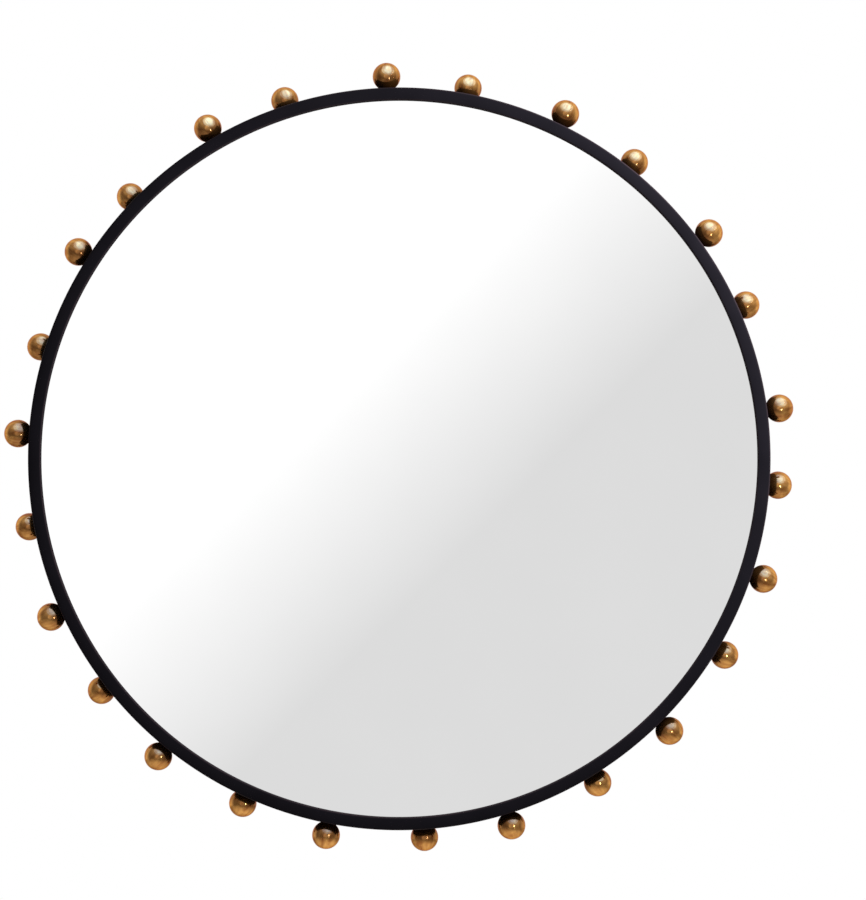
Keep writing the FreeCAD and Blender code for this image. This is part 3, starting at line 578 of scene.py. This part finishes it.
bracketNodes = sorted(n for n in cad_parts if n.startswith("board_bracket_"))
bracketTurns = np.array([turnOf(n) for n in bracketNodes])
for node, turn in zip(bracketNodes, bracketTurns):
    bent = placed(bracketShape(), radialAxes(turn))
    addPiece(f"bracket.{node[-1]}", bent, paint, [node], bevel=bracket["soften"])
screwSpots = np.stack((bracket["hole"] * np.sin(bracketTurns), 0 * bracketTurns,
                       bracket["hole"] * np.cos(bracketTurns)), 1)
screwAxes = np.tile(rearAxes, (len(bracketTurns), 1, 1))
addPiece("boardScrews", placed(crossHead(boardScrew), screwAxes, screwSpots), plate,
         ["board_screws"])
print("brackets:", len(bracketNodes))


# Rubber blocks that carry the glass.

block = dict(inner=pane["radius"], outer=hoop["inner"], front=pane["front"], back=-63.2, length=30.0, steps=9,
             edge=0.5, edgeSteps=4, soften=0.4)
blockLine = roundCorners([(block["inner"], block["front"]), (block["outer"], block["front"]),
                          (block["outer"], block["back"]), (block["inner"], block["back"])],
                         block["edge"], block["edgeSteps"])
# the section is swept along the hoop, x = r sin(turn), z = r cos(turn)
for side in ("left", "right"):
    turn = np.linspace(-1, 1, block["steps"]) * block["length"] / block["outer"] / 2
    r, y = blockLine[:, :1], blockLine[:, 1:]
    rings = np.stack((r * np.sin(turn), y + 0 * turn, r * np.cos(turn)), -1).transpose(1, 0, 2)
    node = f"setting_block_{side}"
    seated = placed(stack(rings), radialAxes(turnOf(node)))
    addPiece(f"settingBlock.{side}", seated, rubber, [node], bevel=block["soften"])
print("setting blocks: done")


# Hangers: a welded tab, a riveted strap rolled round the ring's bar, and the ring.

tab = dict(x=200.0, width=40.0, rear=-10.0, front=-13.0, bottom=240.17, corner=8.0, cornerSteps=8,
           top=hoop["inner"], edge=0.3, steps=24)
strap = dict(width=12.0, thick=1.2, level=-9.4, bottom=245.17, pivotY=-7.05, pivotZ=280.921, roll=2.35,
             endRound=4.0, curl=250, edge=0.2, edgeSteps=3, steps=60, rows=20, endRows=8, rowGap=0.5)
ring = dict(wire=1.5, bow=11.5, bend=3.0, bar=8.5, around=24, steps=16)
rivet = dict(radius=2.0, head=3.25, rise=1.5, rear=-8.8, front=tab["front"], upperZ=260.17, lowerZ=250.17,
             across=10, around=32)


def tabShape():
    # the outline runs along the rounded bottom and back under the hoop, z = sqrt(top^2 - x^2), and is drawn
    # in by the edge round at both faces
    half, corner, edge = tab["width"] / 2, tab["corner"], tab["edge"]
    arc = np.linspace(0, np.pi / 2, tab["cornerSteps"])
    left = np.stack((-half + corner - corner * np.cos(arc),
                     tab["bottom"] + corner - corner * np.sin(arc)), 1)
    right = left[::-1] * (-1, 1)
    x = np.linspace(half, -half, tab["steps"])
    under = np.stack((x, np.sqrt(tab["top"] ** 2 - (tab["x"] + x) ** 2)), 1)
    line = np.vstack((left, right, under))
    along = np.roll(line, -1, 0) - np.roll(line, 1, 0)
    inward = np.stack((-along[:, 1], along[:, 0]), 1) / np.linalg.norm(along, axis=1, keepdims=True)
    levels = [(edge, tab["rear"]), (0, tab["rear"] - edge), (0, tab["front"] + edge), (edge, tab["front"])]
    rings = []
    for d, y in levels:
        x, z = (line + d * inward).T
        rings.append(np.stack((x, np.full(len(line), y), z), 1))
    return stack(rings)


def strapShape():
    # a flat strip runs up the tab, then round the pivot on a circle of the roll radius; its half width
    # follows a quarter circle at the lower end
    level, bottom, rows, ends = (strap[key] for key in ("level", "bottom", "rows", "endRows"))
    run = np.stack((np.full(rows, level), np.linspace(bottom, strap["pivotZ"], rows)), 1)[:-1]
    angle = np.radians(180 - np.linspace(0, strap["curl"], strap["steps"]))
    roll = np.stack((strap["pivotY"] + strap["roll"] * np.cos(angle),
                     strap["pivotZ"] + strap["roll"] * np.sin(angle)), 1)
    rounded = bottom + strap["endRound"] * (1 - np.cos(np.linspace(0, np.pi / 2, ends)))
    upper = run[run[:, 1] > rounded[-1] + strap["rowGap"]]
    run = np.vstack((np.stack((np.full(ends, level), rounded), 1), upper))
    path = np.vstack((run, roll))
    tangent = np.gradient(path, axis=0)
    tangent /= np.linalg.norm(tangent, axis=1, keepdims=True)
    normal = np.stack((-tangent[:, 1], tangent[:, 0]), 1)
    into = np.clip((path[:, 1] - bottom) / strap["endRound"], 0, 1)
    into[len(run):] = 1
    half = strap["width"] / 2 - strap["endRound"] * (1 - np.sqrt(1 - (1 - into) ** 2))
    corners = np.array([(-1, -1), (1, -1), (1, 1), (-1, 1)]) * (strap["thick"] / 2, strap["width"] / 2)
    section = roundCorners(corners, strap["edge"], strap["edgeSteps"])
    side, across = section[:, 0], section[:, 1] / (strap["width"] / 2)
    yz = path[:, None] + side[None, :, None] * normal[:, None]
    return stack(np.stack((half[:, None] * across, yz[..., 0], yz[..., 1]), -1))


def ringShape():
    # a round wire carried along a bar, two bends and a half-circle bow, all in one upright plane through the
    # pivot
    n, b = ring["steps"], ring["bend"]
    bar = np.stack((np.linspace(-ring["bar"], ring["bar"], n), np.zeros(n)), 1)
    turn = np.linspace(np.pi / 2, 0, n)
    right = np.stack((ring["bar"] + b * np.cos(turn), -b + b * np.sin(turn)), 1)
    bowTurn = np.linspace(0, -np.pi, 3 * n)
    bow = np.stack((ring["bow"] * np.cos(bowTurn), -b + ring["bow"] * np.sin(bowTurn)), 1)
    left = right[::-1] * (-1, 1)
    path = np.vstack((bar[:-1], right[:-1], bow[:-1], left[:-1]))
    tangent = np.roll(path, -1, 0) - np.roll(path, 1, 0)
    tangent /= np.linalg.norm(tangent, axis=1, keepdims=True)
    normal = np.stack((-tangent[:, 1], tangent[:, 0]), 1)
    phi = np.linspace(0, 2 * np.pi, ring["around"], endpoint=False)
    side, depth = ring["wire"] * np.cos(phi), ring["wire"] * np.sin(phi)
    xz = path[:, None] + side[None, :, None] * normal[:, None]
    return stack(np.stack((xz[..., 0], depth + 0 * xz[..., 0], xz[..., 1]), -1), wrapAlong=True)


def rivetLine():
    # a domed head at each end, rise * (1 - (rho / head)^2) proud, on a plain shank
    rho = np.linspace(0, rivet["head"], rivet["across"])
    dome = rivet["rise"] * (1 - (rho / rivet["head"]) ** 2)
    front = np.stack((rho, rivet["front"] - dome), 1)
    rear = np.stack((rho, rivet["rear"] + dome), 1)[::-1]
    return np.vstack((front, [(rivet["radius"], rivet["front"]), (rivet["radius"], rivet["rear"])], rear))


upright = np.eye(3)
for side, way in (("left", -1), ("right", 1)):
    mirrored = np.diag((way, 1, 1))  # the left tab is the right one's mirror image
    hung = (way * tab["x"], 0, 0)
    pivot = (way * tab["x"], strap["pivotY"], strap["pivotZ"])
    addPiece(f"hangerTab.{side}", placed(tabShape(), mirrored, hung), paint,
             [f"hanger_tab_{side}"])
    addPiece(f"hangerStrap.{side}", placed(strapShape(), upright, hung), plate,
             [f"hanger_strap_{side}"])
    addPiece(f"hangerRing.{side}", placed(ringShape(), upright, pivot), plate,
             [f"hanger_ring_{side}"], body=f"ring_{side}")
rivetSpots = [(way * tab["x"], 0, z) for way in (-1, 1) for z in (rivet["upperZ"], rivet["lowerZ"])]
rivetAxes = np.tile(rearAxes, (len(rivetSpots), 1, 1))
addPiece("hangerRivets", placed(lathe(rivetLine(), rivet["around"]), rivetAxes, rivetSpots), plate,
         ["hanger_rivets"])
print("hangers: done")


# Weld beads that join the tabs and the brackets to the hoop.

weld = dict(tabRadius=1.8, bracketRadius=1.2, ripple=0.14, pitch=2.4, blunt=8, tip=0.02, margin=1.0,
            around=14, steps=120)


def beadShape(path, radius):
    # a round bar carried along a path: s along it, the radius swells by ripple * |sin(pi s / pitch)|, one
    # swell for every drop of metal, and falls off at both ends as the root of 1 - (2 s / length - 1)^blunt
    s = np.append(0, np.cumsum(np.linalg.norm(np.diff(path, axis=0), axis=1)))
    ends = np.sqrt(np.clip(1 - (2 * s / s[-1] - 1) ** weld["blunt"], weld["tip"], 1))
    r = radius * ends * (1 + weld["ripple"] * abs(np.sin(np.pi * s / weld["pitch"])))
    side = np.cross(np.gradient(path, axis=0), towardY)
    side /= np.linalg.norm(side, axis=1, keepdims=True)
    phi = np.linspace(0, 2 * np.pi, weld["around"], endpoint=False)[:, None]
    return stack(path[:, None] + r[:, None, None] * (np.cos(phi) * side[:, None] + np.sin(phi) * towardY))


# a tab's bead runs under the hoop, z = sqrt(top^2 - x^2), a bracket's along it, r sin(turn) and r cos(turn)
x = np.linspace(1, -1, weld["steps"]) * (tab["width"] / 2 - weld["margin"])
tabLine = np.stack((x, 0 * x + tab["rear"], np.sqrt(tab["top"] ** 2 - (tab["x"] + x) ** 2)), 1)
for side, way in (("left", -1), ("right", 1)):
    bead = placed(beadShape(tabLine, weld["tabRadius"]), np.diag((way, 1, 1)), (way * tab["x"], 0, 0))
    addPiece(f"tabWeld.{side}", bead, paint, [])
turn = np.linspace(-1, 1, weld["steps"]) * (bracket["width"] / 2 - bracket["corner"]) / bracket["inner"]
bracketLine = np.stack((bracket["inner"] * np.sin(turn), 0 * turn + bracket["high"],
                        bracket["inner"] * np.cos(turn)), 1)
beads = placed(beadShape(bracketLine, weld["bracketRadius"]), radialAxes(bracketTurns),
               np.zeros((len(bracketTurns), 3)))
addPiece("bracketWelds", beads, paint, [])
print("welds: done")


# Camera where the photograph was taken from: almost straight on, a little right of and below the middle.

view = dict(stand=(0.100, -2.853, -0.064), aim=(0.0356, -0.0762, 0.0076), focal=109.3, far=50)


def lookAt(thing, stand, aim):
    thing.location = stand
    thing.rotation_euler = (Vector(aim) - Vector(stand)).to_track_quat("-Z", "Y").to_euler()
    scene.collection.objects.link(thing)


camera = bpy.data.objects.new("camera", bpy.data.cameras.new("camera"))
camera.data.lens, camera.data.clip_end = view["focal"], view["far"]
lookAt(camera, view["stand"], view["aim"])
scene.camera = camera


# Studio, in metres: pale floor, a shell that the metal and the mirror reflect, soft lamps, white all round.

floor = dict(level=-1.25, reach=5.0, clearFrom=1.2, rings=(1, 2), drop=0.01, around=96, tone="#F1EEE9")
shell = dict(radius=7.0, reach=112, rings=40, around=96, skylight=(0.22, -0.4, 0.89),
             room=((0.1, (0.25, 0.235, 0.225)), (0.35, (0.36, 0.34, 0.325)), (0.6, (0.62, 0.63, 0.65)),
                   (0.86, (1.05, 1.1, 1.15)), (1.0, (1.4, 1.5, 1.6))),
             paper=(1.7, 3.0), slant=(0.7071, 0, -0.7071), fall=(-0.608, 0.102), paperTone=(1.08, 0.757),
             rear=(-3.5, 2.3))
worldFill = 0.45  # strength of the white all round, as light
# The sky, glow and spot lamps light the balls alone. Their cool light turns the brass's highlights cream.
lamps = dict(
    windowLamp=dict(stand=(0.7, -0.5, 0.5), aim=(0, 0, 0.05), size=(0.7, 0.6), watts=37,
                    colour=(0.94, 0.97, 1.0)),
    skyLamp=dict(stand=(0.8, -2.3, 3.45), size=(7.8, 7.8), watts=390, colour=(0.12, 0.34, 1.0),
                 only=ballGroup),
    glowLamp=dict(stand=(0.76, -2.15, 3.5), size=(4.2, 5.2), watts=215, colour=(0.05, 0.28, 1.0),
                  only=ballGroup),
    spotLamp=dict(stand=(0.8, -1.75, -0.35), size=(0.2, 0.42), watts=5, colour=(0.7, 0.85, 1.0),
                  only=ballGroup),
    rearLamp=dict(stand=(-0.8, 2.2, 1.3), size=(1.6, 1.2), watts=22, colour=(1.0, 0.97, 0.93)))


def addStage(name, points, faces, finish):
    mesh = bpy.data.meshes.new(name)
    mesh.from_pydata(np.asarray(points).tolist(), [], [row for f in faces for row in f.tolist()])
    mesh.materials.append(finish)
    thing = bpy.data.objects.new(name, mesh)
    scene.collection.objects.link(thing)
    return thing


def addFloor():
    # a flat disc, rings at growing radius; it keeps shadows near the part and thins out to nothing far off
    finish, tree, place = newFinish("paleFloor")
    reach = addNode(tree, "VectorMath", {0: place}, operation="LENGTH")
    away = addNode(tree, "MapRange", {"Value": reach, "From Min": floor["clearFrom"],
                   "From Max": floor["reach"]}, interpolation_type="SMOOTHSTEP")
    paper = addNode(tree, "BsdfDiffuse", {"Color": hexColour(floor["tone"])})
    clear = addNode(tree, "BsdfTransparent")
    mixed = addNode(tree, "MixShader", {0: away, 1: paper, 2: clear})
    addNode(tree, "OutputMaterial", {"Surface": mixed})
    rings = [(radius, 0) for radius in (0, *floor["rings"], floor["reach"])]
    points, faces, _ = lathe(rings + [(0, -floor["drop"])], floor["around"])
    addStage("floor", points, faces, finish).location.z = floor["level"]


def addShell():
    # part of a sphere round the part, open at the back: x = R sin(a) sin(t), y = -R cos(a),
    # z = R sin(a) cos(t)
    finish, tree, place = newFinish("studioShell")
    finish.cycles.emission_sampling = "NONE"
    depth = addNode(tree, "SeparateXYZ", {0: place}).outputs[1]
    # a grey room that brightens towards a big skylight overhead, a little to the right
    toward = addNode(tree, "VectorMath", {0: place}, operation="NORMALIZE")
    near = addNode(tree, "VectorMath", {0: toward, 1: Vector(shell["skylight"]).normalized()},
                   operation="DOT_PRODUCT")
    room = addNode(tree, "ValToRGB", {0: near})
    room.color_ramp.interpolation = "EASE"
    for i, (level, colour) in enumerate(shell["room"]):  # a new ramp has two stops
        stop = room.color_ramp.elements[i] if i < 2 else room.color_ramp.elements.new(level)
        stop.position, stop.color = level, (*colour, 1)
    # white paper behind the camera, falling to grey down to the right, as the glass shows it
    slant = addNode(tree, "VectorMath", {0: place, 1: shell["slant"]}, operation="DOT_PRODUCT")
    fall = addNode(tree, "MapRange", {"Value": slant, "From Min": shell["fall"][0],
                   "From Max": shell["fall"][1], "To Min": shell["paperTone"][0],
                   "To Max": shell["paperTone"][1]})
    paper = addNode(tree, "MapRange", {"Value": fromAxis(tree, place), "From Min": shell["paper"][0],
                    "From Max": shell["paper"][1], "To Min": 1, "To Max": 0}, interpolation_type="SMOOTHSTEP")
    ahead = addNode(tree, "Math", {0: depth, 1: 0}, operation="LESS_THAN")
    share = addNode(tree, "Math", {0: paper, 1: ahead}, operation="MULTIPLY")
    front = addNode(tree, "Mix", {0: share, 6: room, 7: fall}, data_type="RGBA")
    rear = addNode(tree, "MapRange", {"Value": depth, "From Min": shell["rear"][0],
                   "From Max": shell["rear"][1]}, interpolation_type="SMOOTHSTEP")
    tone = addNode(tree, "Mix", {0: 1.0, 6: front, 7: rear}, data_type="RGBA", blend_type="LIGHTEN")
    glow = addNode(tree, "Emission", {"Color": tone, "Strength": 1})
    addNode(tree, "OutputMaterial", {"Surface": glow})
    a = np.radians(np.linspace(0, shell["reach"], shell["rings"]))[1:, None]
    t = np.linspace(0, 2 * np.pi, shell["around"], endpoint=False)
    rings = np.stack((np.sin(a) * np.sin(t), -np.cos(a) + 0 * t, np.sin(a) * np.cos(t)), -1)
    points = np.vstack((shell["radius"] * rings.reshape(-1, 3), (0, -shell["radius"], 0)))
    quads, _ = gridFaces(len(a), len(t), False, True)
    j = np.arange(len(t))
    fan = np.stack((np.full(len(t), len(points) - 1), j, (j + 1) % len(t)), -1)
    dome = addStage("studioShell", points, [quads, fan], finish)
    dome.visible_camera = dome.visible_diffuse = dome.visible_shadow = False


def addLamp(name, stand, size, watts, colour, aim=(0, 0, 0), only=None):
    lamp = bpy.data.objects.new(name, bpy.data.lights.new(name, "AREA"))
    lamp.data.shape = "ELLIPSE"
    lamp.data.size, lamp.data.size_y = size
    lamp.data.energy, lamp.data.color = watts, colour
    # the glass shows no lamp: one that lights everything has no gloss, the others reach the balls alone
    lamp.visible_camera, lamp.visible_glossy = False, only is not None
    lamp.light_linking.receiver_collection = only
    lookAt(lamp, stand, aim)


def addWorld():
    # white where the camera, metal or glass sees it, and a soft fill as light
    world = bpy.data.worlds.new("studio")
    scene.world = world
    world.use_nodes = True
    tree = world.node_tree
    tree.nodes.clear()
    rays = addNode(tree, "LightPath").outputs
    first = addNode(tree, "Math", {0: rays["Is Camera Ray"], 1: rays["Is Glossy Ray"]}, operation="MAXIMUM")
    seen = addNode(tree, "Math", {0: first, 1: rays["Is Transmission Ray"]}, operation="MAXIMUM")
    level = addNode(tree, "MapRange", {"Value": seen, "To Min": worldFill, "To Max": 1})
    sky = addNode(tree, "Background", {"Color": (1, 1, 1, 1), "Strength": level})
    addNode(tree, "OutputWorld", {"Surface": sky})


addFloor()
addShell()
addWorld()
for name, spec in lamps.items():
    addLamp(name, **spec)
print("camera, floor and lamps: done")
